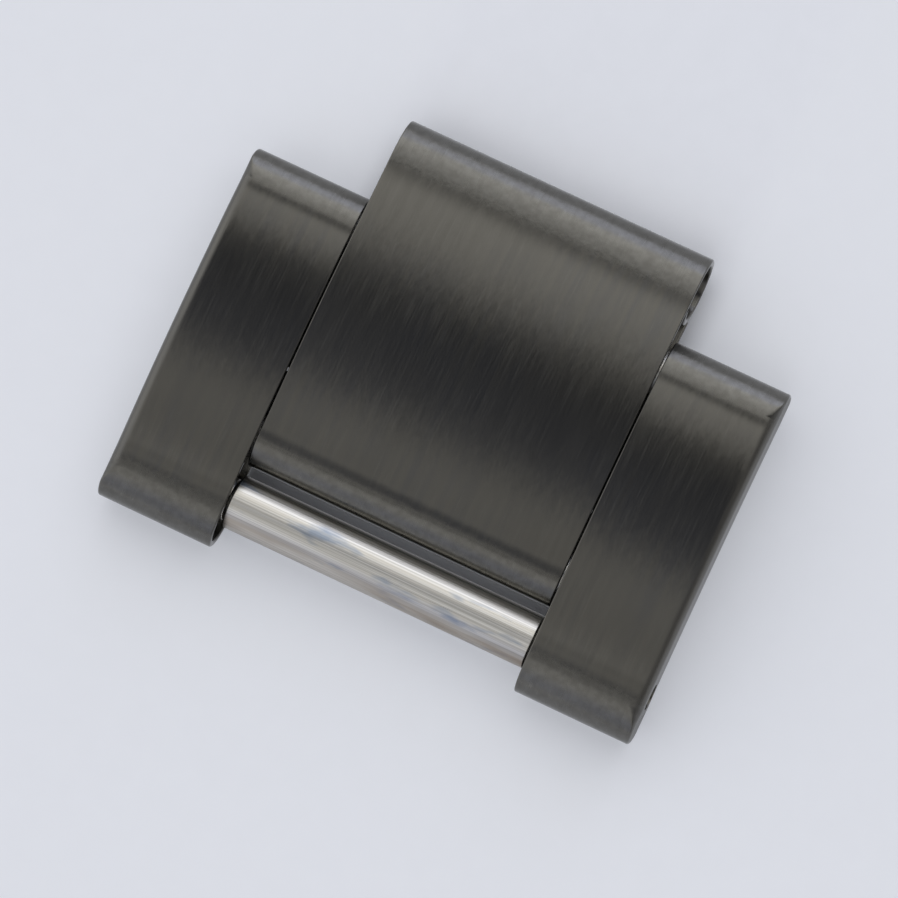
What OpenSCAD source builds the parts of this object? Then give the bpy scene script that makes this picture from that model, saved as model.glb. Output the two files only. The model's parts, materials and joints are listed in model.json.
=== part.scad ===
// Watch bracelet link made of folded sheet, three pieces wide.
// X runs across the bracelet, Y along it towards the eye, Z up to the face.
// The origin is at the middle of the base.

/* [Row] */
// Width of the whole link across the bracelet
link_w = 22; // [18:0.5:26]
// Distance from this link's hinge to the next one
pitch = 14.34; // [13:0.02:16]
// Gap between the facing ends of two neighbouring links
row_gap = 0.08; // [0.06:0.01:0.16]
// Radius of the arch that the pieces follow along the bracelet
arch_r = 46; // [38:1:90]

/* [Sheet] */
// Thickness of the folded sheet
sheet_t = 0.25; // [0.22:0.01:0.32]
// How far the rolled ends stand proud of the arched sheet, above and below
crease_d = 0.14; // [0.08:0.01:0.16]
// How far the folded ends stand proud of it
fold_d = 0.05; // [0.03:0.01:0.07]
// Radius of the folded ends that hold no hinge
fold_r = 1.1; // [1:0.05:1.2]
// How much higher the folded end of a piece lies than its rolled end, so that the faces are flush
fold_lift = 0.3; // [0.15:0.05:0.4]
// Rounding of the cut edges
edge_r = 0.06; // [0.03:0.01:0.09]
// Width of the seam under the outer links
seam_w = 0.14; // [0.08:0.02:0.3]
// Width of the slit between a side wall and the folded underside
slit_w = 0.08; // [0.06:0.01:0.12]
// Gap between the curled end of the eye and the sheet next to it
curl_gap = 0.06; // [0.04:0.01:0.08]
// Angle round the eye from the top sheet to the end of the curl
curl_spare_a = 5; // [4:1:10]
// Distance from the middle of the eye to where the curl leaves the underside
curl_start = 0.4; // [0.3:0.05:0.6]

/* [Outer links] */
// Width of each outer link
outer_w = 4.7; // [4:0.1:5.5]
// Radius of the bend along the outer side
side_bend_r = 0.5; // [0.4:0.02:0.6]
// Gap between the centre link and each outer link
side_gap = 0.06; // [0.04:0.01:0.1]
// Distance from the hinge to the middle of the rolled end around it
pivot_inset = 0.6; // [0.45:0.05:0.65]

/* [Hinge] */
// Outer diameter of the pivot tube
tube_d = 2.12; // [1.96:0.02:2.3]
// Diameter of the split pin
pin_d = 1; // [0.8:0.05:1.1]
// Clearance all round between parts that turn on each other
turn_gap = 0.03; // [0.02:0.005:0.05]
// Clearance all round the pin in its bushes
pin_gap = 0.02; // [0.015:0.005:0.04]
// How far each end of the pin sits inside the side wall
pin_sink = 0.06; // [0.02:0.02:0.14]
// Bevel on the ends of the tube, the pin and the bushes
bevel = 0.08; // [0.04:0.01:0.12]
// Width of the slot that splits the pin
split_w = 0.14; // [0.1:0.02:0.2]
// Length of the slot that splits the pin
split_len = 8.5; // [5:0.5:10]

/* [Cross bars] */
// Distance from the middle of a folded end to its cross bar
bar_inset = 0.2; // [0.15:0.05:0.5]
// Clearance all round the cross bars and the bushes in the hollow sheet
seat_gap = 0.02; // [0.01:0.01:0.04]

/* [Hidden] */
$fn = 72;
arch_fn = 720;
coated = [0.30, 0.29, 0.28];
bare = [0.75, 0.73, 0.70];

// Radii of the hinge, worked out from the tube to the outside of the eye
eye_hole_r = tube_d / 2 + turn_gap;
half_h = eye_hole_r + sheet_t;
tube_hole_r = pin_d / 2 + turn_gap;
pin_hole_r = pin_d / 2 + pin_gap;

// Places along the bracelet, counted from the pivot tube
piece_len = pitch - row_gap;
roll_at = -pivot_inset;
eye_at = pitch;
outer_start = roll_at - half_h;
outer_fold_at = outer_start + piece_len - fold_r;
centre_fold_at = half_h + row_gap + fold_r;
outer_mid = (roll_at + outer_fold_at) / 2;
centre_mid = (centre_fold_at + eye_at) / 2;
base_mid = (outer_start + eye_at + half_h) / 2;

// The arch that both kinds of piece follow, tilted so that it ends higher at the folded end
arch_half = (eye_at - centre_fold_at) / 2;
tilt_a = atan(fold_lift / (2 * arch_half));
arch_half_a = asin(arch_half / cos(tilt_a) / arch_r);
arch_centre_at = -arch_r * cos(arch_half_a) * sin(tilt_a);
arch_centre_up = half_h + fold_lift / 2 - arch_r * cos(arch_half_a) * cos(tilt_a);
roll_a = arch_half_a + tilt_a;
fold_a = arch_half_a - tilt_a;
arch_t = half_h - crease_d;
end_cover = 0.1;
cover_a = asin(end_cover / arch_r);
hollow_t = arch_t - sheet_t;

// The folded end: its two small bends lie above and below its middle
fold_mid = half_h + fold_lift;
fold_up = arch_t + fold_d - fold_r;

// Over an end the side bend is cut a little outside the sheet, so that the surfaces cross clearly
bend_spare = 0.02;

// Places and widths across the bracelet
centre_w = link_w - 2 * (outer_w + side_gap);
outer_at = centre_w / 2 + side_gap;
hollow_w = outer_w - sheet_t;
pin_len = link_w - 2 * pin_sink;
bar_len = link_w - 2 * (sheet_t + seat_gap);
bush_len = hollow_w - seat_gap;

// Height of the arch above the middle of the rolled end, at a place counted from halfway towards that end
function rise(at) = arch_centre_up + sqrt(arch_r * arch_r - pow(at - arch_centre_at, 2)) - half_h;

// The bush fits under the lowest stretch of the hollow, and the bars where both hollows overlap
lower_bar_at = centre_fold_at + bar_inset;
upper_bar_at = outer_fold_at - bar_inset;
bush_r = hollow_t - rise(outer_mid) - seat_gap;
bar_rise_high = rise(outer_mid - lower_bar_at);
bar_rise_low = rise(bar_inset - arch_half);
bar_r = hollow_t - abs(bar_rise_high - bar_rise_low) / 2 - seat_gap;
bar_up = half_h + (bar_rise_high + bar_rise_low) / 2;

// The curl of the eye ends short of the top sheet, and the folded underside short of the curl.
// The notch between them bites a very little into the curl, so that no two surfaces coincide
curl_end_a = 180 - asin(hollow_t / half_h) + curl_spare_a;
curl_touch = sqrt(pow(half_h + curl_gap, 2) - pow(hollow_t, 2));
notch_bite = 0.01;
reach = 1;

// Turns a shape drawn as along, up and across into the part's own axes
module stand(across = 0) {
    translate([across, -base_mid, 0]) rotate(a = 120, v = [1, 1, 1]) children();
}

// The area left outside a rounded corner of a section
module corner_waste(r) {
    difference() {
        translate([-reach, -reach]) square(r + reach);
        translate([r, r]) circle(r = r);
    }
}

// Section of a piece from one radius to another, with rounded edges at its two sides
module section(r_low, r_high, width, near_r = 0, far_r = 0) {
    difference() {
        translate([r_low, 0]) square([r_high - r_low, width]);
        if (near_r > 0) {
            translate([r_high, 0]) mirror([1, 0]) corner_waste(near_r);
            if (r_low > 0) translate([r_low, 0]) corner_waste(near_r);
        }
        if (far_r > 0) {
            translate([r_high, width]) rotate(180) corner_waste(far_r);
            if (r_low > 0) translate([r_low, width]) mirror([0, 1]) corner_waste(far_r);
        }
    }
}

// Arched middle, cut from a ring by two planes through its middle
module arch_part(inset, width, near_r = 0, far_r = 0) {
    t = arch_t - inset;
    span = arch_r + half_h + reach;
    roll_span = span * tan(roll_a - cover_a);
    fold_span = span * tan(fold_a - cover_a);
    translate([arch_centre_at, arch_centre_up, 0]) intersection() {
        rotate_extrude($fn = arch_fn) section(arch_r - t, arch_r + t, width, near_r, far_r);
        translate([0, 0, -reach]) linear_extrude(width + 2 * reach)
            polygon([[0, 0], [roll_span, span], [-fold_span, span]]);
    }
}

// Round end
module roll_part(inset, width, near_r = 0, far_r = 0) {
    translate([arch_half, half_h, 0])
        rotate_extrude() section(0, half_h - inset, width, near_r, far_r);
}

// Folded end, with a straight stretch between two small bends
module fold_part(inset, width, near_r = 0, far_r = 0) {
    r = fold_r - inset;
    for (up = [fold_mid - fold_up, fold_mid + fold_up])
        translate([-arch_half, up, 0]) rotate_extrude() section(0, r, width, near_r, far_r);
    translate([-arch_half, fold_mid + fold_up, 0]) mirror([1, 0, 0]) rotate([90, 0, 0])
        linear_extrude(2 * fold_up) section(0, r, width, near_r, far_r);
}

// Whole outside of a piece, or its hollow when it is inset by the sheet
module piece(inset, width, near_r = 0, far_r = 0) {
    arch_part(inset, width, near_r, far_r);
    roll_part(inset, width, near_r, far_r);
    fold_part(inset, width, near_r, far_r);
}

// Straight bar as thick as an end, with the side bend along its far side
module bend_bar(at, mid_up, half_len, half_t) {
    low = mid_up - half_t - bend_spare;
    high = mid_up + half_t + bend_spare;
    far = outer_w + bend_spare;
    bend_r = side_bend_r + bend_spare;
    translate([at - half_len, 0, 0]) rotate(a = 120, v = [1, 1, 1]) linear_extrude(2 * half_len)
        difference() {
            translate([low, -reach]) square([high - low, far + reach]);
            translate([low, far]) mirror([0, 1]) corner_waste(bend_r);
            translate([high, far]) rotate(180) corner_waste(bend_r);
        }
}

// Outside of an outer link: the side bend follows the arch, and runs straight over both ends
module bent_piece() {
    arch_part(0, outer_w, edge_r, side_bend_r);
    intersection() {
        roll_part(0, outer_w, edge_r, edge_r);
        bend_bar(arch_half, half_h, half_h + reach, half_h);
    }
    intersection() {
        fold_part(0, outer_w, edge_r, edge_r);
        bend_bar(-arch_half, fold_mid, fold_r + reach, fold_up + fold_r);
    }
}

// Cuts round the eye in side view: the slit at the end of the curl and the notch under it
module curl_cut_area() {
    translate([arch_half, half_h]) rotate(-roll_a) {
        rotate(curl_end_a) translate([eye_hole_r - curl_gap, 0])
            square([sheet_t + 2 * curl_gap, curl_gap]);
        difference() {
            translate([-curl_touch, -half_h - reach]) square([curl_touch - curl_start, half_h + reach]);
            circle(r = half_h - notch_bite);
        }
    }
}

// Folded strip: the eye closes one end of its hollow
module centre_link() {
    color(coated) stand(-centre_w / 2) translate([centre_mid, 0, 0]) difference() {
        piece(0, centre_w, edge_r, edge_r);
        translate([0, 0, -reach]) {
            difference() {
                union() {
                    arch_part(sheet_t, centre_w + 2 * reach);
                    fold_part(sheet_t, centre_w + 2 * reach);
                }
                translate([arch_half, half_h, 0]) cylinder(r = half_h, h = centre_w + 2 * reach);
            }
            translate([arch_half, half_h, 0]) cylinder(r = eye_hole_r, h = centre_w + 2 * reach);
            linear_extrude(centre_w + 2 * reach) curl_cut_area();
        }
    }
}

// Pressed shell, open on the side that faces the centre link
module outer_link() {
    stand(outer_at) difference() {
        translate([outer_mid, 0, 0]) mirror([1, 0, 0]) bent_piece();
        translate([outer_mid, 0, -reach]) mirror([1, 0, 0])
            piece(sheet_t, hollow_w + reach, 0, side_bend_r - sheet_t);
        translate([outer_mid - seam_w / 2, -reach, -reach])
            cube([seam_w, half_h + reach, hollow_w + reach]);
        translate([outer_start - reach, -reach, hollow_w - slit_w])
            cube([piece_len + 2 * reach, half_h + reach, slit_w]);
        translate([0, half_h, 0]) cylinder(r = pin_hole_r, h = outer_w + reach);
    }
}

module right_outer_link() {
    color(coated) outer_link();
}

module left_outer_link() {
    color(coated) mirror([1, 0, 0]) outer_link();
}

// Half section of a sleeve with bevelled outer edges
module sleeve_section(r_low, r_high, len) {
    polygon([[r_low, 0], [r_high - bevel, 0], [r_high, bevel],
             [r_high, len - bevel], [r_high - bevel, len], [r_low, len]]);
}

// Sleeve that the next link's eye turns on
module pivot_tube() {
    color(bare) stand(-centre_w / 2) translate([0, half_h, 0])
        rotate_extrude() sleeve_section(tube_hole_r, tube_d / 2, centre_w);
}

// Pin that is slotted at one end, so that its legs grip
module split_pin() {
    color(bare) stand(-pin_len / 2) translate([0, half_h, 0]) difference() {
        rotate_extrude() sleeve_section(0, pin_d / 2, pin_len);
        translate([-pin_d, -split_w / 2, -reach]) cube([2 * pin_d, split_w, split_len + reach]);
    }
}

module pin_bush() {
    stand(outer_at) translate([0, half_h, 0])
        rotate_extrude() sleeve_section(pin_hole_r, bush_r, bush_len);
}

module right_pin_bush() {
    color(bare) pin_bush();
}

module left_pin_bush() {
    color(bare) mirror([1, 0, 0]) pin_bush();
}

// Bar that ties the centre link to both outer links
module cross_bar(at) {
    color(bare) stand(-bar_len / 2) translate([at, bar_up, 0])
        rotate_extrude() sleeve_section(0, bar_r, bar_len);
}

module upper_cross_bar() {
    cross_bar(upper_bar_at);
}

module lower_cross_bar() {
    cross_bar(lower_bar_at);
}

centre_link();
left_outer_link();
right_outer_link();
pivot_tube();
split_pin();
left_pin_bush();
right_pin_bush();
upper_cross_bar();
lower_cross_bar();
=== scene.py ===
import json
import math

import bmesh
import bpy
import numpy as np
from mathutils import Matrix, Vector


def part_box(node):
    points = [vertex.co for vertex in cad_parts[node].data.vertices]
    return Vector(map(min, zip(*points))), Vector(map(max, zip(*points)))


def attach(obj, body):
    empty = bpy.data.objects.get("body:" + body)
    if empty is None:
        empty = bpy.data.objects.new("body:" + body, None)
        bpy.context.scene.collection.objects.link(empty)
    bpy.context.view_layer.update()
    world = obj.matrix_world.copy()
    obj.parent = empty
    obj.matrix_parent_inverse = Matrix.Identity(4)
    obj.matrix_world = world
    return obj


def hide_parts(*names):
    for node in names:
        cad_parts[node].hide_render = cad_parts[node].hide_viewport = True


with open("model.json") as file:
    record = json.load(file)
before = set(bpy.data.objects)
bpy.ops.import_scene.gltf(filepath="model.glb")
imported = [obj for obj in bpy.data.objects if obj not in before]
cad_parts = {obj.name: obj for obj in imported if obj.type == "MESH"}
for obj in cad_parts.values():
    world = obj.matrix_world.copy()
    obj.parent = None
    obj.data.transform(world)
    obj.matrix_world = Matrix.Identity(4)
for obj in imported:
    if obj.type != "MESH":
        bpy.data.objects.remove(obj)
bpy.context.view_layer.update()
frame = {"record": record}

MM = 0.001

# Sizes of the folded sheet and the pin, as in the construction
ARCH_R = 46 * MM
SHEET = 0.25 * MM
ROLL_PROUD = 0.14 * MM
FOLD_PROUD = 0.05 * MM
FOLD_R = 1.1 * MM
FOLD_LIFT = 0.3 * MM
EDGE_R = 0.06 * MM
SIDE_BEND_R = 0.5 * MM
END_CORNER_R = 0.1 * MM
SEAM_WIDTH = 0.14 * MM
SLIT_WIDTH = 0.08 * MM
CURL_GAP = 0.06 * MM
CURL_SPARE = math.radians(5)
TURN_GAP = 0.03 * MM
PIN_GAP = 0.02 * MM
SPLIT_WIDTH = 0.14 * MM
SPLIT_LENGTH = 8.5 * MM
BEVEL = 0.08 * MM

# Width of the rounded band between a crease and its end, and how widely the crease is softened,
# each at the rolled and at the folded end
CENTRE_BANDS = (1.95 * MM, 1.36 * MM)
OUTER_BANDS = (1.95 * MM, 1.45 * MM)
CENTRE_SOFT = (0.35 * MM, 0.2 * MM)
OUTER_SOFT = (0.26 * MM, 0.14 * MM)

# How far each band turns past level before it meets its crease
CENTRE_BACK = (math.radians(8), math.radians(10))
OUTER_BACK = (math.radians(9), math.radians(4.5))

# Where the arch of an outer link starts to fall faster towards its fold, and how much
FALL_FROM = -3.56 * MM
FALL = 0.007 / MM

# Width over which the finish changes at a crease
BAND_FADE = 0.5 * MM

# Fineness of the drawn surfaces: the step along a path, how many points an outline has for each
# such step in its arcs and bands, and the steps of small corners, side bends and turned pieces
PATH_STEP = 0.035 * MM
ARC_FINENESS = 2
BAND_FINENESS = 4
CORNER_STEPS = 5
BEND_STEPS = 20
TURNED_STEPS = 160
SHARP_FROM = math.radians(32)

# Smoothing of a path: passes that every point gets, and how many widths of a join it reaches
LEAST_PASSES = 2.0
SOFT_REACH = 3

# Below these, places and widths count as the same or as nothing
PLACE_DECIMALS = 9
MERGE_WITHIN = 0.0005 * MM
TINY = 1e-12

# How far a cutter stands out of what it cuts
CUTTER_SPARE = 1 * MM


def mount_place(name):
    """Middle of a mount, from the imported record."""
    mount = next(m for m in frame["record"]["mounts"] if m["name"] == name)
    return Vector(mount["pos_m"])


def size_of(node):
    """Size of a node's box."""
    low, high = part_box(node)
    return high - low


# Worked out from the frame: the radius of the rolled end and half the thickness of the arch, the
# centre of the folded end, half the distance between both ends and its middle along Y, the tilt
# of the arch, its half angle and its slope at the rolled end, and the radius of the pin
EYE = mount_place("eye_bore")
HINGE = mount_place("hinge_gap")
HALF_H = EYE.z
ARCH_T = HALF_H - ROLL_PROUD
FOLD_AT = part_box("centre_link")[0].y + FOLD_R
ARCH_HALF = (EYE.y - FOLD_AT) / 2
ARCH_MID = (EYE.y + FOLD_AT) / 2
TILT_A = math.atan(FOLD_LIFT / (2 * ARCH_HALF))
ARCH_HALF_A = math.asin(ARCH_HALF / math.cos(TILT_A) / ARCH_R)
ROLL_A = ARCH_HALF_A + TILT_A
PIN_R = size_of("split_pin").z / 2

# Side view of a folded piece, as places along it and levels. Along is counted from halfway
# between its ends, towards its rolled end
ARCH_CENTRE = (-ARCH_R * math.cos(ARCH_HALF_A) * math.sin(TILT_A),
               HALF_H + FOLD_LIFT / 2 - ARCH_R * math.cos(ARCH_HALF_A) * math.cos(TILT_A))
ROLL_CENTRE = (ARCH_HALF, HALF_H)
FOLD_MID = HALF_H + FOLD_LIFT
FOLD_UP = ARCH_T + FOLD_PROUD - FOLD_R
LOW_FOLD_CENTRE = (-ARCH_HALF, FOLD_MID - FOLD_UP)
HIGH_FOLD_CENTRE = (-ARCH_HALF, FOLD_MID + FOLD_UP)


def crossing(centre_a, radius_a, centre_b, radius_b):
    """Where two circles cross, at the crossing nearer to the middle of the arch."""
    a, b = np.array(centre_a), np.array(centre_b)
    apart = np.linalg.norm(b - a)
    towards = (b - a) / apart
    out = (radius_a ** 2 - radius_b ** 2 + apart ** 2) / (2 * apart)
    side = math.sqrt(radius_a ** 2 - out ** 2)
    middle = a + out * towards
    turned = np.array([-towards[1], towards[0]]) * side
    return min((middle + turned, middle - turned), key=lambda p: abs(p[0]))


def angle_from(centre, point):
    """Angle of a point seen from a centre."""
    return math.atan2(point[1] - centre[1], point[0] - centre[0])


def arc(centre, radius, start, end):
    """Points along an arc, close together."""
    count = max(2, int(abs(end - start) * radius / (PATH_STEP / ARC_FINENESS)))
    angles = np.linspace(start, end, count)
    along = centre[0] + radius * np.cos(angles)
    level = centre[1] + radius * np.sin(angles)
    return np.stack([along, level], axis=1)


def end_band(end_at, level, band, way, back):
    """Upper side of an end, from its crease in the arch out to its farthest place, as part of an ellipse.

    Way is 1 at the rolled end and -1 at the folded one. Back is how far the band turns past level.
    """
    crease_at = end_at - way * band
    arch_top = ARCH_CENTRE[1] + math.sqrt((ARCH_R + ARCH_T) ** 2 - (crease_at - ARCH_CENTRE[0]) ** 2)
    long_r = band / (1 + math.sin(back))
    rise = (arch_top - level) / math.cos(back)
    turn = np.linspace(math.pi / 2 + back, 0, int(BAND_FINENESS * band / PATH_STEP))
    along = end_at - way * long_r * (1 - np.cos(turn))
    return np.stack([along, level + rise * np.sin(turn)], axis=1)


def fold_top_and_roll(under_start, bands, back, roll_end):
    """Stretches of the sheet's outside, from an angle on the underside to one in the roll.

    They are the underside, the fold, its band, the arch, the band of the roll and the roll.
    """
    low, high = ARCH_R - ARCH_T, ARCH_R + ARCH_T
    low_fold = crossing(ARCH_CENTRE, low, LOW_FOLD_CENTRE, FOLD_R)
    roll_band = end_band(ARCH_HALF + HALF_H, HALF_H, bands[0], 1, back[0])
    fold_band = end_band(-ARCH_HALF - FOLD_R, HIGH_FOLD_CENTRE[1], bands[1], -1, back[1])[::-1]
    arch_start = angle_from(ARCH_CENTRE, fold_band[-1])
    arch_end = angle_from(ARCH_CENTRE, roll_band[0])
    return [
        arc(ARCH_CENTRE, low, under_start, angle_from(ARCH_CENTRE, low_fold)),
        arc(LOW_FOLD_CENTRE, FOLD_R, angle_from(LOW_FOLD_CENTRE, low_fold), -math.pi),
        fold_band,
        arc(ARCH_CENTRE, high, arch_start, arch_end),
        roll_band,
        arc(ROLL_CENTRE, HALF_H, 0, roll_end),
    ]


def smoothing_passes(at, joins, soft):
    """How many smoothing passes each point of a path gets, enough at a join to round it over its width."""
    passes = np.full(len(at), LEAST_PASSES)
    for join, width in zip(joins, soft):
        if width:
            nearness = np.exp(-((at - join) / (SOFT_REACH * width)) ** 2)
            passes = np.maximum(passes, 2 * (width / PATH_STEP) ** 2 * nearness)
    return passes


def smoothed(path, closed, passes):
    """A path after its smoothing passes. In each, a point moves halfway towards its neighbours' middle."""
    for done in range(int(passes.max()) + 1):
        softer = (np.roll(path, 1, axis=0) + 2 * path + np.roll(path, -1, axis=0)) / 4
        if not closed:
            softer[[0, -1]] = path[[0, -1]]
        share = np.clip(passes - done, 0, 1)[:, None]
        path = path + share * (softer - path)
    return path


def even_path(stretches, closed, soft):
    """One path of even steps through all stretches. Soft says how widely the end of each is rounded."""
    points = np.concatenate(stretches)
    if closed:
        points = np.concatenate([points, points[:1]])
    steps = np.linalg.norm(np.diff(points, axis=0), axis=1)
    length = np.concatenate([[0], np.cumsum(steps)])
    at = np.linspace(0, length[-1], int(length[-1] / PATH_STEP) + 1)
    path = np.stack([np.interp(at, length, points[:, k]) for k in (0, 1)], axis=1)
    if closed:
        at, path = at[:-1], path[:-1]
    ends = np.cumsum([len(stretch) for stretch in stretches]) - 1
    return smoothed(path, closed, smoothing_passes(at, length[ends], soft))


def centre_path():
    """Outside of the centre link's strip, from the end of its underside to the end of its curl."""
    hollow_t = ARCH_T - SHEET
    touch = math.sqrt((HALF_H + CURL_GAP) ** 2 - hollow_t ** 2)
    under_start = math.pi / 2 - ROLL_A + math.asin(touch / ARCH_R)
    curl_end = math.pi - math.asin(hollow_t / HALF_H) + CURL_SPARE - ROLL_A + CURL_GAP / HALF_H
    stretches = fold_top_and_roll(under_start, CENTRE_BANDS, CENTRE_BACK, curl_end - 2 * math.pi)
    roll, fold = CENTRE_SOFT
    return even_path(stretches, False, (fold, 0, fold, roll))


def outer_path():
    """Closed outside of an outer link."""
    low = ARCH_R - ARCH_T
    low_roll = crossing(ARCH_CENTRE, low, ROLL_CENTRE, HALF_H)
    roll_end = angle_from(ROLL_CENTRE, low_roll)
    stretches = fold_top_and_roll(math.pi / 2, OUTER_BANDS, OUTER_BACK, roll_end)
    fold_band_and_arch = stretches[2:4]
    for upper in fold_band_and_arch:
        upper[:, 1] -= FALL * np.maximum(FALL_FROM - upper[:, 0], 0) ** 2
    stretches.append(arc(ARCH_CENTRE, low, angle_from(ARCH_CENTRE, low_roll), math.pi / 2))
    roll, fold = OUTER_SOFT
    return even_path(stretches, True, (fold, 0, fold, roll, 0, roll))


def outward(path, closed):
    """Outward direction at each point of a path that runs clockwise in side view."""
    if closed:
        run = np.roll(path, -1, axis=0) - np.roll(path, 1, axis=0)
    else:
        run = np.gradient(path, axis=0)
    out = np.stack([-run[:, 1], run[:, 0]], axis=1)
    return out / np.linalg.norm(out, axis=1, keepdims=True)


def corner(centre, radius, start, steps):
    """Quarter round of a section, clockwise from a start angle in degrees."""
    angles = np.radians(np.linspace(start, start - 90, steps + 1))
    return [(centre[0] + radius * math.cos(a), centre[1] - radius * math.sin(a)) for a in angles]


def strip_section(width):
    """Closed section of plain sheet as across and depth, with rounded edges."""
    near, far = EDGE_R, width - EDGE_R
    low, high = EDGE_R, SHEET - EDGE_R
    corners = ((near, low, 180), (far, low, 90), (far, high, 0), (near, high, -90))
    return [point for x, depth, start in corners
            for point in corner((x, depth), EDGE_R, start, CORNER_STEPS)]


def drop(far_away, radius):
    """How deep a rounded edge lies at a distance from where it would have its corner."""
    inside = np.clip(radius - far_away, 0, radius)
    return radius - np.sqrt(radius ** 2 - inside ** 2)


def shell_section(width):
    """Open section of an outer link as across and depth: hollow, open edge and outside.

    With it comes its bend, how far each of its points lies down at the side wall.
    """
    inner_r = SIDE_BEND_R - SHEET
    edge = (corner((EDGE_R, SHEET - EDGE_R), EDGE_R, -90, CORNER_STEPS)
            + corner((EDGE_R, EDGE_R), EDGE_R, 180, CORNER_STEPS))
    inner = corner((width - SIDE_BEND_R, SIDE_BEND_R), inner_r, 90, CORNER_STEPS)
    turn = np.linspace(0, math.pi / 2, BEND_STEPS + 1)
    places = np.concatenate([SIDE_BEND_R * (1 - np.sin(turn)), END_CORNER_R * (1 - np.sin(turn))])
    places = np.unique(places.round(PLACE_DECIMALS))[::-1]
    outside = [(width - place, depth) for place, depth in zip(places, drop(places, END_CORNER_R))]
    section = inner[::-1] + edge + outside
    bend = np.concatenate([np.zeros(len(section) - len(places)), drop(places, SIDE_BEND_R)])
    return section, bend


def level_limits(path):
    """Lowest and highest level over each point of a path, taken as constant beyond its round ends."""
    inside = np.abs(path[:, 0]) <= ARCH_HALF
    underside = path[:, 1] < FOLD_MID - ARCH_T / 2
    upper_side = path[:, 1] > HALF_H + ARCH_T / 2
    limits = []
    for side in (underside, upper_side):
        along, level = path[inside & side].T
        order = np.argsort(along)
        limits.append(np.interp(path[:, 0], along[order], level[order]))
    return limits


def bent(level, lowest, highest, bend):
    """Levels kept inside the side bend, with the edge where they meet it a little rounded."""
    blend_width = np.minimum(EDGE_R, bend)
    over = np.maximum(blend_width - np.abs(level - highest + bend), 0)
    level = np.minimum(level, highest - bend) - over ** 2 / (4 * blend_width + TINY)
    under = np.maximum(blend_width - np.abs(level - lowest - bend), 0)
    return np.maximum(level, lowest + bend) + under ** 2 / (4 * blend_width + TINY)


def band_share(path, bands):
    """How far each point of a path lies in the rounded band of an end, as 0 to 1."""
    past_roll = path[:, 0] - (ARCH_HALF + HALF_H - bands[0])
    past_fold = -path[:, 0] - (ARCH_HALF + FOLD_R - bands[1])
    return np.clip(np.maximum(past_roll, past_fold) / BAND_FADE, 0, 1)


def swept_points(path, closed, section, place, bend):
    """Points of a section carried along a path, as rows, columns and X, Y and Z."""
    across, along_sign, along_at = place
    wide, depth = section.T
    side = path[:, None, :] - depth[None, :, None] * outward(path, closed)[:, None, :]
    if bend is not None:
        lowest, highest = level_limits(path)
        kept = bent(side[:, :, 1], lowest[:, None], highest[:, None], bend)
        side[:, :, 1] = np.where(bend > 0, kept, side[:, :, 1])
    points = np.empty((len(path), len(section), 3))
    points[:, :, 0] = across + wide[None, :]
    points[:, :, 1] = along_at + along_sign * side[:, :, 0]
    points[:, :, 2] = side[:, :, 1]
    return points


def run_in_mm(points):
    """How far along each point lies from the first, in millimetres, and at the end the whole way round."""
    steps = np.linalg.norm(np.diff(points, axis=0, append=points[:1]), axis=1)
    return np.concatenate([[0], np.cumsum(steps)]) / MM


def swept_faces(path, closed, section, section_closed):
    """Faces between the points of a swept section, and a UV place for each of their corners."""
    rows, columns = len(path), len(section)
    u_at, v_at = run_in_mm(section), run_in_mm(path)
    faces, uvs = [], []
    for i in range(rows if closed else rows - 1):
        for j in range(columns if section_closed else columns - 1):
            this_row, next_row = i * columns, (i + 1) % rows * columns
            next_j = (j + 1) % columns
            faces.append((this_row + j, next_row + j, next_row + next_j, this_row + next_j))
            uvs += [(u_at[j], v_at[i]), (u_at[j], v_at[i + 1]),
                    (u_at[j + 1], v_at[i + 1]), (u_at[j + 1], v_at[i])]
    return faces, uvs


def end_faces(points, section_closed):
    """The two faces that close a swept piece, and a UV place for each of their corners.

    They lie at the two ends of a strip, or at the two sides of a shell, whose section is open.
    """
    rows, columns = points.shape[:2]
    if section_closed:
        caps = [list(range(columns)), list(range((rows - 1) * columns, rows * columns))]
        u_axis, v_axis = 0, 2
    else:
        caps = [[i * columns for i in range(rows)], [i * columns + columns - 1 for i in range(rows)]]
        u_axis, v_axis = 2, 1
    flat = points.reshape(-1, 3)
    uvs = [(flat[k][u_axis] / MM, flat[k][v_axis] / MM) for cap in caps for k in cap]
    return caps, uvs


def swept_mesh(name, path, closed, section, section_closed, bands, place, bend=None):
    """Mesh of a section carried along a path, with a UV map in millimetres of sheet.

    Place is its low X, the way in which it runs along Y, and where its middle lies along Y.
    """
    section = np.array(section)
    points = swept_points(path, closed, section, place, bend)
    faces, uvs = swept_faces(path, closed, section, section_closed)
    caps, cap_uvs = end_faces(points, section_closed)
    mesh = bpy.data.meshes.new(name)
    mesh.from_pydata(points.reshape(-1, 3).tolist(), [], faces + caps)
    layer = mesh.uv_layers.new(name="sheet")
    layer.data.foreach_set("uv", np.array(uvs + cap_uvs).ravel())
    rounded = mesh.attributes.new("rounded", "FLOAT", "POINT")
    rounded.data.foreach_set("value", np.repeat(band_share(path, bands), len(section)))
    fix_directions(mesh)
    return mesh


def fix_directions(mesh):
    """Turns all faces outwards."""
    work = bmesh.new()
    work.from_mesh(mesh)
    bmesh.ops.recalc_face_normals(work, faces=work.faces)
    work.to_mesh(mesh)
    work.free()


def linked(name, mesh):
    """A mesh as an object in the scene."""
    piece = bpy.data.objects.new(name, mesh)
    bpy.context.scene.collection.objects.link(piece)
    return piece


def smooth(mesh):
    """Smooth shading with true corners kept."""
    mesh.shade_smooth()
    mesh.set_sharp_from_angle(angle=SHARP_FROM)


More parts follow.
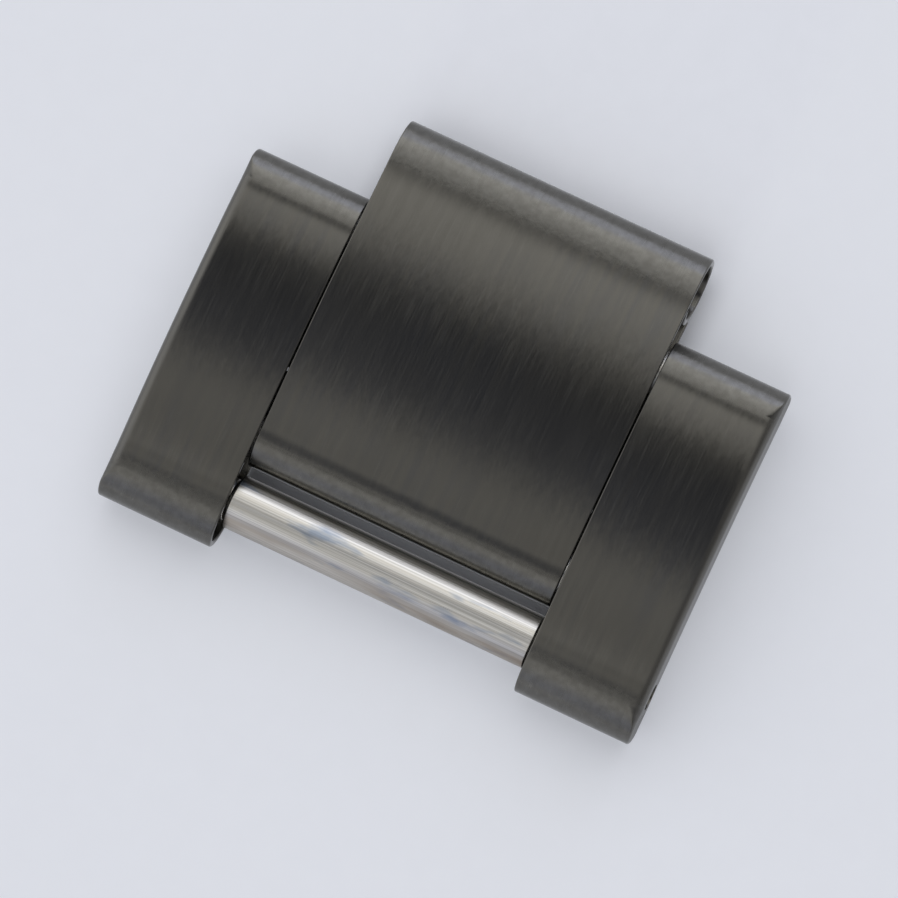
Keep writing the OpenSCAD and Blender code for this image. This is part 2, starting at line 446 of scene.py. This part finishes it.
def baked(piece):
    """The piece's mesh with its modifiers worked in and taken off."""
    depsgraph = bpy.context.evaluated_depsgraph_get()
    mesh = bpy.data.meshes.new_from_object(piece.evaluated_get(depsgraph))
    piece.modifiers.clear()
    piece.data = mesh
    return piece


def box_mesh(low, high):
    """A plain box as a cutter."""
    corners = [(x, y, z) for x in (low[0], high[0]) for y in (low[1], high[1]) for z in (low[2], high[2])]
    faces = [(0, 1, 3, 2), (4, 6, 7, 5), (0, 4, 5, 1), (2, 3, 7, 6), (0, 2, 6, 4), (1, 5, 7, 3)]
    mesh = bpy.data.meshes.new("cutter")
    mesh.from_pydata(corners, [], faces)
    fix_directions(mesh)
    return mesh


def rod_mesh(radius, low_x, high_x, y, z):
    """A round rod along the hinge axis as a cutter."""
    n = TURNED_STEPS
    angles = np.linspace(0, 2 * math.pi, n, endpoint=False)
    ring = [(y + radius * math.cos(a), z + radius * math.sin(a)) for a in angles]
    verts = [(x, p[0], p[1]) for x in (low_x, high_x) for p in ring]
    faces = [(k, (k + 1) % n, n + (k + 1) % n, n + k) for k in range(n)]
    faces += [tuple(range(n)), tuple(range(n, 2 * n))]
    mesh = bpy.data.meshes.new("cutter")
    mesh.from_pydata(verts, [], faces)
    fix_directions(mesh)
    return mesh


def cut(piece, cutters):
    """Cuts the cutters out of a piece."""
    tools = []
    for mesh in cutters:
        tool = linked("cutter", mesh)
        step = piece.modifiers.new("cut", "BOOLEAN")
        step.operation = "DIFFERENCE"
        step.solver = "EXACT"
        step.object = tool
        tools.append(tool)
    baked(piece)
    for tool in tools:
        bpy.data.objects.remove(tool)
    return piece


def finish_piece(piece, body, node, material):
    """Gives a piece its finish, and puts it in the place of its CAD node."""
    piece.data.materials.clear()
    piece.data.materials.append(material)
    smooth(piece.data)
    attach(piece, body)
    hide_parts(node)
    return piece


def centre_link(material):
    """The folded strip with its eye."""
    low_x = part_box("centre_link")[0].x
    section = strip_section(size_of("centre_link").x)
    mesh = swept_mesh("centre", centre_path(), False, section, True, CENTRE_BANDS, (low_x, 1, ARCH_MID))
    piece = linked("centre_sheet", mesh)
    return finish_piece(piece, "link", "centre_link", material)


def outer_link(node, sign, material):
    """One hollow outer link, drawn at the right. Sign is -1 for the left one, its mirror image."""
    low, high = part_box("right_outer_link")
    inner_x = high.x - SHEET
    section, bend = shell_section(high.x - low.x)
    place = (low.x, -1, -ARCH_MID)
    mesh = swept_mesh(node, outer_path(), True, section, False, OUTER_BANDS, place, bend)
    piece = linked(node.replace("_link", "_sheet"), mesh)
    seam = box_mesh((low.x - CUTTER_SPARE, -ARCH_MID - SEAM_WIDTH / 2, low.z - CUTTER_SPARE),
                    (inner_x, -ARCH_MID + SEAM_WIDTH / 2, HALF_H))
    slit = box_mesh((inner_x - SLIT_WIDTH, low.y - CUTTER_SPARE, low.z - CUTTER_SPARE),
                    (inner_x, high.y + CUTTER_SPARE, HALF_H))
    hole = rod_mesh(PIN_R + PIN_GAP, low.x, high.x + CUTTER_SPARE, HINGE.y, HINGE.z)
    cut(piece, [seam, slit, hole])
    if sign < 0:
        piece.data.transform(Matrix.Diagonal((-1, 1, 1, 1)))
        piece.data.flip_normals()
    return finish_piece(piece, "link", node, material)


def rounded_sleeve(inner_r, outer_r, low_x, high_x):
    """Section of a turned piece as place along the axis and radius, with rounded outer edges."""
    near = corner((low_x + BEVEL, -(outer_r - BEVEL)), BEVEL, 180, CORNER_STEPS)
    far = corner((high_x - BEVEL, -(outer_r - BEVEL)), BEVEL, 90, CORNER_STEPS)
    outside = [(x, -up) for x, up in near + far]
    loop = [(low_x, inner_r)] + outside + [(high_x, inner_r)]
    return loop + [loop[0]] if inner_r > 0 else loop


def new_node(tree, kind, **settings):
    """A new node in a node tree, with its settings."""
    node = tree.nodes.new(kind)
    for name, value in settings.items():
        setattr(node, name, value)
    return node


def feed(tree, value, socket):
    """Sets a socket to a number or a colour, or links another socket to it."""
    if isinstance(value, (int, float)):
        socket.default_value = value
    elif isinstance(value, tuple):
        socket.default_value = (*value, 1)
    else:
        tree.links.new(value, socket)


def math_node(tree, operation, *values):
    """Result of a Math node fed by sockets or numbers."""
    node = new_node(tree, "ShaderNodeMath", operation=operation)
    for socket, value in zip(node.inputs, values):
        feed(tree, value, socket)
    return node.outputs[0]


def turned_place(tree, given):
    """Place of each point of a grid whose rows are copies of the section, turned step by step about X."""
    link = tree.links.new
    index = new_node(tree, "GeometryNodeInputIndex").outputs[0]
    on_section = math_node(tree, "MODULO", index, given["Section Points"])
    step = math_node(tree, "FLOOR", math_node(tree, "DIVIDE", index, given["Section Points"]))
    turn = math_node(tree, "DIVIDE", step, given["Steps Around"])
    angle = math_node(tree, "MULTIPLY", turn, 2 * math.pi)

    sample = new_node(tree, "GeometryNodeSampleIndex", data_type="FLOAT_VECTOR", domain="POINT")
    link(given["Section"], sample.inputs["Geometry"])
    link(new_node(tree, "GeometryNodeInputPosition").outputs[0], sample.inputs["Value"])
    link(on_section, sample.inputs["Index"])
    split = new_node(tree, "ShaderNodeSeparateXYZ")
    link(sample.outputs["Value"], split.inputs[0])
    along, radius = split.outputs["X"], split.outputs["Y"]

    place = new_node(tree, "ShaderNodeCombineXYZ")
    link(along, place.inputs["X"])
    link(math_node(tree, "MULTIPLY", radius, math_node(tree, "COSINE", angle)), place.inputs["Y"])
    link(math_node(tree, "MULTIPLY", radius, math_node(tree, "SINE", angle)), place.inputs["Z"])
    return place.outputs[0]


def turning_tree():
    """Node tree that turns a section line about the X axis."""
    tree = bpy.data.node_groups.new("turned_piece", "GeometryNodeTree")
    face = tree.interface
    face.new_socket("Section", in_out="INPUT", socket_type="NodeSocketGeometry")
    face.new_socket("Section Points", in_out="INPUT", socket_type="NodeSocketInt")
    face.new_socket("Steps Around", in_out="INPUT", socket_type="NodeSocketInt")
    face.new_socket("Finish", in_out="INPUT", socket_type="NodeSocketMaterial")
    face.new_socket("Piece", in_out="OUTPUT", socket_type="NodeSocketGeometry")
    given = new_node(tree, "NodeGroupInput").outputs
    result = new_node(tree, "NodeGroupOutput")
    link = tree.links.new

    grid = new_node(tree, "GeometryNodeMeshGrid")
    link(math_node(tree, "ADD", given["Steps Around"], 1), grid.inputs["Vertices X"])
    link(given["Section Points"], grid.inputs["Vertices Y"])
    move = new_node(tree, "GeometryNodeSetPosition")
    link(grid.outputs["Mesh"], move.inputs["Geometry"])
    link(turned_place(tree, given), move.inputs["Position"])
    merge = new_node(tree, "GeometryNodeMergeByDistance")
    merge.inputs["Distance"].default_value = MERGE_WITHIN
    link(move.outputs[0], merge.inputs["Geometry"])
    real = new_node(tree, "GeometryNodeRealizeInstances")
    link(merge.outputs[0], real.inputs[0])
    finish = new_node(tree, "GeometryNodeSetMaterial")
    link(real.outputs[0], finish.inputs["Geometry"])
    link(given["Finish"], finish.inputs["Material"])
    link(finish.outputs[0], result.inputs["Piece"])
    return tree


TURNED = turning_tree()


def set_inputs(modifier, values):
    """Sets a tree's named inputs on its modifier."""
    for item in modifier.node_group.interface.items_tree:
        if item.in_out == "INPUT" and item.name in values:
            modifier[item.identifier] = values[item.name]


def turned_piece(name, node, inner_r, material):
    """A turned piece as long and thick as its CAD node, with a bore unless inner_r is 0."""
    low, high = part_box(node)
    axis = (low + high) / 2
    section = rounded_sleeve(inner_r, (high.z - low.z) / 2, low.x, high.x)
    mesh = bpy.data.meshes.new(name)
    mesh.from_pydata([(x, r, 0) for x, r in section], [(k, k + 1) for k in range(len(section) - 1)], [])
    piece = linked(name, mesh)
    turning = piece.modifiers.new("turned", "NODES")
    turning.node_group = TURNED
    set_inputs(turning, {"Section Points": len(section), "Steps Around": TURNED_STEPS, "Finish": material})
    baked(piece)
    piece.data.transform(Matrix.Translation((0, axis.y, axis.z)))
    fix_directions(piece.data)
    return piece


def pivot_tube(material):
    """Bare steel tube that the next link's eye turns on."""
    piece = turned_piece("pivot_sleeve", "pivot_tube", PIN_R + TURN_GAP, material)
    return finish_piece(piece, "pivot_tube", "pivot_tube", material)


def split_pin(material):
    """Pin slotted at one end."""
    piece = turned_piece("slotted_pin", "split_pin", 0, material)
    low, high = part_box("split_pin")
    slot = box_mesh((low.x - CUTTER_SPARE, low.y - CUTTER_SPARE, HALF_H - SPLIT_WIDTH / 2),
                    (low.x + SPLIT_LENGTH, high.y + CUTTER_SPARE, HALF_H + SPLIT_WIDTH / 2))
    cut(piece, [slot])
    return finish_piece(piece, "split_pin", "split_pin", material)


def pin_bush(node, material):
    """Sleeve inside a hollow outer link."""
    piece = turned_piece(node.replace("pin_bush", "bush"), node, PIN_R + PIN_GAP, material)
    return finish_piece(piece, "link", node, material)


def cross_bar(node, material):
    """Bar inside the hollow sheet."""
    piece = turned_piece(node.replace("cross_bar", "bar"), node, 0, material)
    return finish_piece(piece, "link", node, material)


# Ranges of a noise pattern, which rarely leaves 0.3 to 0.7: all of it, and most of it
ALL_NOISE = (0.3, 0.7)
MOST_NOISE = (0.35, 0.65)

# Places of the colour sockets in a Mix node
MIX_INPUTS = (6, 7)
MIX_RESULT = 2


def noise(tree, coordinates, scale, detail, seed=0.0):
    """Noise over coordinates, stretched by a scale for each axis and shifted by a seed."""
    mapping = new_node(tree, "ShaderNodeMapping")
    mapping.inputs["Location"].default_value = (seed, seed, seed)
    mapping.inputs["Scale"].default_value = scale
    tree.links.new(coordinates, mapping.inputs["Vector"])
    texture = new_node(tree, "ShaderNodeTexNoise")
    texture.inputs["Scale"].default_value = 1
    texture.inputs["Detail"].default_value = detail
    tree.links.new(mapping.outputs[0], texture.inputs["Vector"])
    return texture.outputs["Fac"]


def spread(tree, value, span, result=(0, 1)):
    """A value mapped from a span to a result range, held at both ends."""
    node = new_node(tree, "ShaderNodeMapRange")
    tree.links.new(value, node.inputs["Value"])
    for name, number in zip(("From Min", "From Max", "To Min", "To Max"), (*span, *result)):
        node.inputs[name].default_value = number
    return node.outputs["Result"]


def blend(tree, share, first, second):
    """Mix of two colours by a share."""
    node = new_node(tree, "ShaderNodeMix", data_type="RGBA")
    tree.links.new(share, node.inputs["Factor"])
    for place, colour in zip(MIX_INPUTS, (first, second)):
        feed(tree, colour, node.inputs[place])
    return node.outputs[MIX_RESULT]


def bumped(tree, height, distance, strength, normal=None):
    """A bump of a height pattern, on top of another where one is given."""
    bump = new_node(tree, "ShaderNodeBump")
    bump.inputs["Distance"].default_value = distance
    tree.links.new(height, bump.inputs["Height"])
    feed(tree, strength, bump.inputs["Strength"])
    if normal is not None:
        tree.links.new(normal, bump.inputs["Normal"])
    return bump.outputs[0]


def steel(name, rough, stretch):
    """A metal material with its node tree and shader. Its grain stretches reflections along its tangent."""
    material = bpy.data.materials.new(name)
    material.use_nodes = True
    tree = material.node_tree
    shader = tree.nodes["Principled BSDF"]
    shader.inputs["Metallic"].default_value = 1
    shader.inputs["Roughness"].default_value = sum(rough) / 2
    shader.inputs["Anisotropic"].default_value = stretch
    return material, tree, shader


# Gunmetal coating: its colours, from patch to patch, in broad streaks, in fine flecks and on
# the matt ends
COATING = ((0.133, 0.1275, 0.113), (0.128, 0.125, 0.118))
COATING_STREAK = (0.143, 0.137, 0.122)
COATING_FLECK = (0.18, 0.174, 0.158)
COATING_MATT = ((0.126, 0.122, 0.111), (0.149, 0.145, 0.133))
FLECKS_IN = (0.56, 0.75)
FLECK_SHARE = 0.5

# Its patterns, as features per millimetre across and along the brushing, or per metre each way
FINE_GRAIN = (14, 0.55, 1)
BROAD_GRAIN = (4, 0.2, 1)
RAGGED_GRAIN = (7, 1.1, 1)
MOTTLE = (3500, 3500, 3500)
PATCHES = (240, 240, 240)

# Its roughness, more on the matt ends, how much it stretches reflections, and its unevenness
COATING_ROUGH = (0.2, 0.26)
COATING_STRETCH = 0.88
MATT_ROUGHER = 0.06
BRUSHING_DEPTH, BRUSHING_STRENGTH = 0.001 * MM, 0.6
RAGGED_DEPTH, RAGGED_STRENGTH = 0.014 * MM, 0.38
MOTTLE_DEPTH, MOTTLE_STRENGTH = 0.012 * MM, 0.5


def coated_steel():
    """Gunmetal coating over steel brushed along the bracelet, matt and mottled on the rounded ends."""
    material, tree, shader = steel("gunmetal_coating", COATING_ROUGH, COATING_STRETCH)
    link = tree.links.new
    sheet = new_node(tree, "ShaderNodeUVMap", uv_map="sheet").outputs[0]
    place = new_node(tree, "ShaderNodeTexCoord").outputs["Object"]
    rounded = new_node(tree, "ShaderNodeAttribute", attribute_name="rounded").outputs["Fac"]
    tangent = new_node(tree, "ShaderNodeTangent", direction_type="UV_MAP", uv_map="sheet")
    link(tangent.outputs[0], shader.inputs["Tangent"])

    fine = noise(tree, sheet, FINE_GRAIN, detail=3)
    broad = noise(tree, sheet, BROAD_GRAIN, detail=2, seed=7.3)
    ragged = noise(tree, sheet, RAGGED_GRAIN, detail=2, seed=2.7)
    mottle = noise(tree, place, MOTTLE, detail=3, seed=1.9)
    patches = noise(tree, place, PATCHES, detail=2, seed=3.1)

    patchy = blend(tree, spread(tree, patches, MOST_NOISE), *COATING)
    streaked = blend(tree, spread(tree, broad, MOST_NOISE), patchy, COATING_STREAK)
    flecked = blend(tree, spread(tree, fine, FLECKS_IN, (0, FLECK_SHARE)), streaked, COATING_FLECK)
    matt = blend(tree, spread(tree, mottle, MOST_NOISE), *COATING_MATT)
    link(blend(tree, rounded, flecked, matt), shader.inputs["Base Color"])
    brushed = spread(tree, fine, ALL_NOISE, COATING_ROUGH)
    link(math_node(tree, "MULTIPLY_ADD", rounded, MATT_ROUGHER, brushed), shader.inputs["Roughness"])

    brushing = bumped(tree, fine, BRUSHING_DEPTH, BRUSHING_STRENGTH)
    uneven = bumped(tree, ragged, RAGGED_DEPTH, RAGGED_STRENGTH, brushing)
    mottled = math_node(tree, "MULTIPLY", rounded, MOTTLE_STRENGTH)
    link(bumped(tree, mottle, MOTTLE_DEPTH, mottled, uneven), shader.inputs["Normal"])
    return material


# Bare steel: its colours, from line to line, in bands, and where it is blued or stained
BARE = ((0.42, 0.405, 0.37), (0.68, 0.665, 0.625))
BARE_BAND = (0.5, 0.475, 0.42)
BLUED = (0.23, 0.28, 0.36)
STAINED = (0.27, 0.215, 0.165)
LINES_IN = (0.38, 0.6)
BANDS_IN, BAND_STRENGTH = (0.45, 0.6), 0.5
BLUED_IN, BLUED_STRENGTH = (0.57, 0.7), 0.8
STAINS_IN, STAIN_STRENGTH = (0.36, 0.6), (0.3, 0.9)

# Where the stain sets in on the tube: towards its front, and above its middle
STAIN_BEFORE = (HINGE.y - 0.4 * MM, HINGE.y - 0.9 * MM)
STAIN_ABOVE = (HINGE.z - 0.1 * MM, HINGE.z + 0.35 * MM)

# Its patterns, as features per metre along and across the drawing, its roughness, how much it
# stretches reflections, and the depth of its lines
DRAWN_LINES = (90, 20000, 20000)
DRAWN_BANDS = (40, 5000, 5000)
BLUE_PATCHES = (420, 1500, 1500)
STAIN_PATCHES = (250, 1500, 1500)
BARE_ROUGH = (0.27, 0.37)
BARE_STRETCH = 0.6
LINE_DEPTH, LINE_STRENGTH = 0.003 * MM, 0.5


def bare_steel():
    """Drawn steel with lengthwise lines and heat tints."""
    material, tree, shader = steel("bare_drawn_steel", BARE_ROUGH, BARE_STRETCH)
    link = tree.links.new
    place = new_node(tree, "ShaderNodeTexCoord").outputs["Object"]
    tangent = new_node(tree, "ShaderNodeTangent", direction_type="RADIAL", axis="X")
    link(tangent.outputs[0], shader.inputs["Tangent"])
    lines = noise(tree, place, DRAWN_LINES, detail=3)
    bands = noise(tree, place, DRAWN_BANDS, detail=1, seed=4.1)
    blues = noise(tree, place, BLUE_PATCHES, detail=3, seed=5.5)
    stains = noise(tree, place, STAIN_PATCHES, detail=2, seed=8.2)

    lined = blend(tree, spread(tree, lines, LINES_IN), *BARE)
    banded = blend(tree, spread(tree, bands, BANDS_IN, (0, BAND_STRENGTH)), lined, BARE_BAND)
    blued = blend(tree, spread(tree, blues, BLUED_IN, (0, BLUED_STRENGTH)), banded, BLUED)
    split = new_node(tree, "ShaderNodeSeparateXYZ")
    link(place, split.inputs[0])
    before = spread(tree, split.outputs["Y"], STAIN_BEFORE)
    above = spread(tree, split.outputs["Z"], STAIN_ABOVE)
    at_edge = math_node(tree, "MULTIPLY", before, above)
    stained = math_node(tree, "MULTIPLY", at_edge, spread(tree, stains, STAINS_IN, STAIN_STRENGTH))
    link(blend(tree, stained, blued, STAINED), shader.inputs["Base Color"])
    link(spread(tree, lines, ALL_NOISE, BARE_ROUGH), shader.inputs["Roughness"])
    link(bumped(tree, lines, LINE_DEPTH, LINE_STRENGTH), shader.inputs["Normal"])
    return material


# The floor: a sheet of paper
FLOOR_HALF = 0.6
PAPER = (0.868, 0.884, 0.93)
PAPER_DARKER = tuple(part * 0.985 for part in PAPER)
PAPER_ROUGH = 0.9
PAPER_GRAIN = (900, 900, 900)

# The paper's tone in the open, and how much of what is seen of it is painted light in this tone,
# which takes no shadow and so lifts its shadow. Under the centre link it keeps its full shadow, and the
# change takes this width
PAINTED_PAPER_TONE = (0.716, 0.737, 0.791)
PAPER_PAINTED_LIGHT = 0.36
PAINTED_LIGHT_FADE = 1 * MM


def painted_light_share(tree, place):
    """How much painted light, in the paper's tone in the open, the paper shows: in reflections, and clear
    of the centre link.
    """
    ray = new_node(tree, "ShaderNodeLightPath")
    split = new_node(tree, "ShaderNodeSeparateXYZ")
    tree.links.new(place, split.inputs[0])
    link_side = size_of("centre_link").x / 2
    across = math_node(tree, "ABSOLUTE", split.outputs["X"])
    beside = spread(tree, across, (link_side, link_side + PAINTED_LIGHT_FADE))
    before = spread(tree, split.outputs["Y"], (HINGE.y, HINGE.y - PAINTED_LIGHT_FADE))
    clear = math_node(tree, "MAXIMUM", beside, before)
    direct = math_node(tree, "MULTIPLY", ray.outputs["Is Camera Ray"], clear)
    seen = math_node(tree, "MAXIMUM", direct, ray.outputs["Is Glossy Ray"])
    return math_node(tree, "MULTIPLY", seen, PAPER_PAINTED_LIGHT)


def pale_paper():
    """Matt paper with a faint grain, and painted light that lifts its shadow clear of the centre link."""
    material = bpy.data.materials.new("pale_paper")
    material.use_nodes = True
    tree = material.node_tree
    link = tree.links.new
    shader = tree.nodes["Principled BSDF"]
    shader.inputs["Roughness"].default_value = PAPER_ROUGH
    place = new_node(tree, "ShaderNodeTexCoord").outputs["Object"]
    grain = noise(tree, place, PAPER_GRAIN, detail=4)
    link(blend(tree, spread(tree, grain, ALL_NOISE), PAPER, PAPER_DARKER), shader.inputs["Base Color"])
    # Painted light: the paper's tone in the open, mixed in as a glow that lifts its shadow
    light_paint = new_node(tree, "ShaderNodeEmission")
    feed(tree, PAINTED_PAPER_TONE, light_paint.inputs["Color"])
    mix = new_node(tree, "ShaderNodeMixShader")
    link(painted_light_share(tree, place), mix.inputs[0])
    link(shader.outputs[0], mix.inputs[1])
    link(light_paint.outputs[0], mix.inputs[2])
    link(mix.outputs[0], tree.nodes["Material Output"].inputs["Surface"])
    return material


def floor():
    """Pale paper under the link, with painted light on it."""
    corners = [(x * FLOOR_HALF, y * FLOOR_HALF, 0) for x, y in ((-1, -1), (1, -1), (1, 1), (-1, 1))]
    mesh = bpy.data.meshes.new("paper")
    mesh.from_pydata(corners, [], [(0, 1, 2, 3)])
    mesh.materials.append(pale_paper())
    sheet = linked("paper", mesh)
    return sheet


# Level of the light against its tilt along the bracelet, in degrees from overhead towards +Y
LIGHT_LEVELS = ((-90, 0.5), (-75, 0.55), (-60, 0.65), (-33, 0.87), (-18, 0.75), (-13, 0.43), (-9.5, 0.52),
                (-7, 0.62), (-5, 0.47), (-3, 0.2), (-1, 0.15), (3, 0.12), (7, 0.06), (9, 0.2), (11, 0.58),
                (13, 0.88), (21, 1.05), (28, 1.17), (45, 1.6), (54, 1.75), (65, 1.9), (78, 1.8), (90, 1.6))
LEVELS_FROM, LEVELS_TO = -90, 90

# The dark strip about overhead and the light near the horizon are cooler
STRIP_FROM, STRIP_TO = -4, 8
STRIP_TINT = (0.94, 1.0, 1.22)
HORIZON_FROM = 58
HORIZON_TINT = (0.95, 1.0, 1.2)
NO_TINT = (1, 1, 1)

# Light from the left and from the right, how they meet across the bracelet, and the tilts in
# degrees over which they set in
LEFT_LIGHT = (1.08, 1.09, 1.13)
RIGHT_LIGHT = (0.28, 0.28, 0.29)
SIDES_MEET = (-0.3, 0.3)
SIDE_TILTS = (35, 55)


def light_colour(degrees, level):
    """Colour of the light at a tilt."""
    tint = NO_TINT
    if STRIP_FROM < degrees < STRIP_TO:
        tint = STRIP_TINT
    elif abs(degrees) > HORIZON_FROM:
        tint = HORIZON_TINT
    return (*(level * part for part in tint), 1)


def light_along(tree, tilt):
    """Light by its tilt along the bracelet."""
    ramp = new_node(tree, "ShaderNodeValToRGB")
    limits = (math.radians(LEVELS_FROM), math.radians(LEVELS_TO))
    tree.links.new(spread(tree, tilt, limits), ramp.inputs["Fac"])
    elements = ramp.color_ramp.elements
    while len(elements) < len(LIGHT_LEVELS):
        elements.new(0.5)
    for element, (degrees, level) in zip(elements, LIGHT_LEVELS):
        element.position = (degrees - LEVELS_FROM) / (LEVELS_TO - LEVELS_FROM)
        element.color = light_colour(degrees, level)
    return ramp.outputs["Color"]


def studio():
    """Soft light all round a darker strip above the link."""
    world = bpy.data.worlds.new("studio")
    bpy.context.scene.world = world
    world.use_nodes = True
    tree = world.node_tree
    direction = new_node(tree, "ShaderNodeTexCoord").outputs["Generated"]
    split = new_node(tree, "ShaderNodeSeparateXYZ")
    tree.links.new(direction, split.inputs[0])
    x, y, z = split.outputs
    along = light_along(tree, math_node(tree, "ARCTAN2", y, z))
    side_tilt = math_node(tree, "ARCTAN2", math_node(tree, "ABSOLUTE", x), z)
    side_share = spread(tree, side_tilt, tuple(math.radians(tilt) for tilt in SIDE_TILTS))
    sides = blend(tree, spread(tree, x, SIDES_MEET), LEFT_LIGHT, RIGHT_LIGHT)
    background = tree.nodes["Background"]
    tree.links.new(blend(tree, side_share, along, sides), background.inputs["Color"])
    background.inputs["Strength"].default_value = 1
    bpy.context.scene.view_settings.view_transform = "Standard"


# The photograph's view: its size in pixels, the width seen at the link, the camera's distance,
# tilts and roll in degrees, and the pixel at which the link's middle lies
PIXELS = 898
VIEW_WIDTH = 33.41 * MM
DISTANCE = 250 * MM
TILT_X = 7.1
TILT_Y = -0.6
ROLL = 24.96
MIDDLE_PX = (462.5, 404.5)
CLIP_START, CLIP_END = 0.01, 10


def camera():
    """Camera high above the link, turned as in the photograph."""
    back = Vector((math.tan(math.radians(TILT_X)), math.tan(math.radians(TILT_Y)), 1)).normalized()
    right = Vector((math.cos(math.radians(ROLL)), math.sin(math.radians(ROLL)), 0))
    right = (right - right.dot(back) * back).normalized()
    up = back.cross(right)
    pixel = VIEW_WIDTH / PIXELS
    target = Vector((0, 0, HALF_H)) - (MIDDLE_PX[0] - PIXELS / 2) * pixel * right
    target += (MIDDLE_PX[1] - PIXELS / 2) * pixel * up
    data = bpy.data.cameras.new("camera")
    data.lens = data.sensor_width * DISTANCE / VIEW_WIDTH
    data.clip_start = CLIP_START
    data.clip_end = CLIP_END
    view = bpy.data.objects.new("camera", data)
    bpy.context.scene.collection.objects.link(view)
    place = target + DISTANCE * back
    view.matrix_world = Matrix.Translation(place) @ Matrix((right, up, back)).transposed().to_4x4()
    bpy.context.scene.camera = view


coating = coated_steel()
bare = bare_steel()
centre_link(coating)
outer_link("right_outer_link", 1, coating)
outer_link("left_outer_link", -1, coating)
pivot_tube(bare)
split_pin(bare)
for side_bush in ("left_pin_bush", "right_pin_bush"):
    pin_bush(side_bush, bare)
for bar in ("upper_cross_bar", "lower_cross_bar"):
    cross_bar(bar, bare)
floor()
studio()
camera()
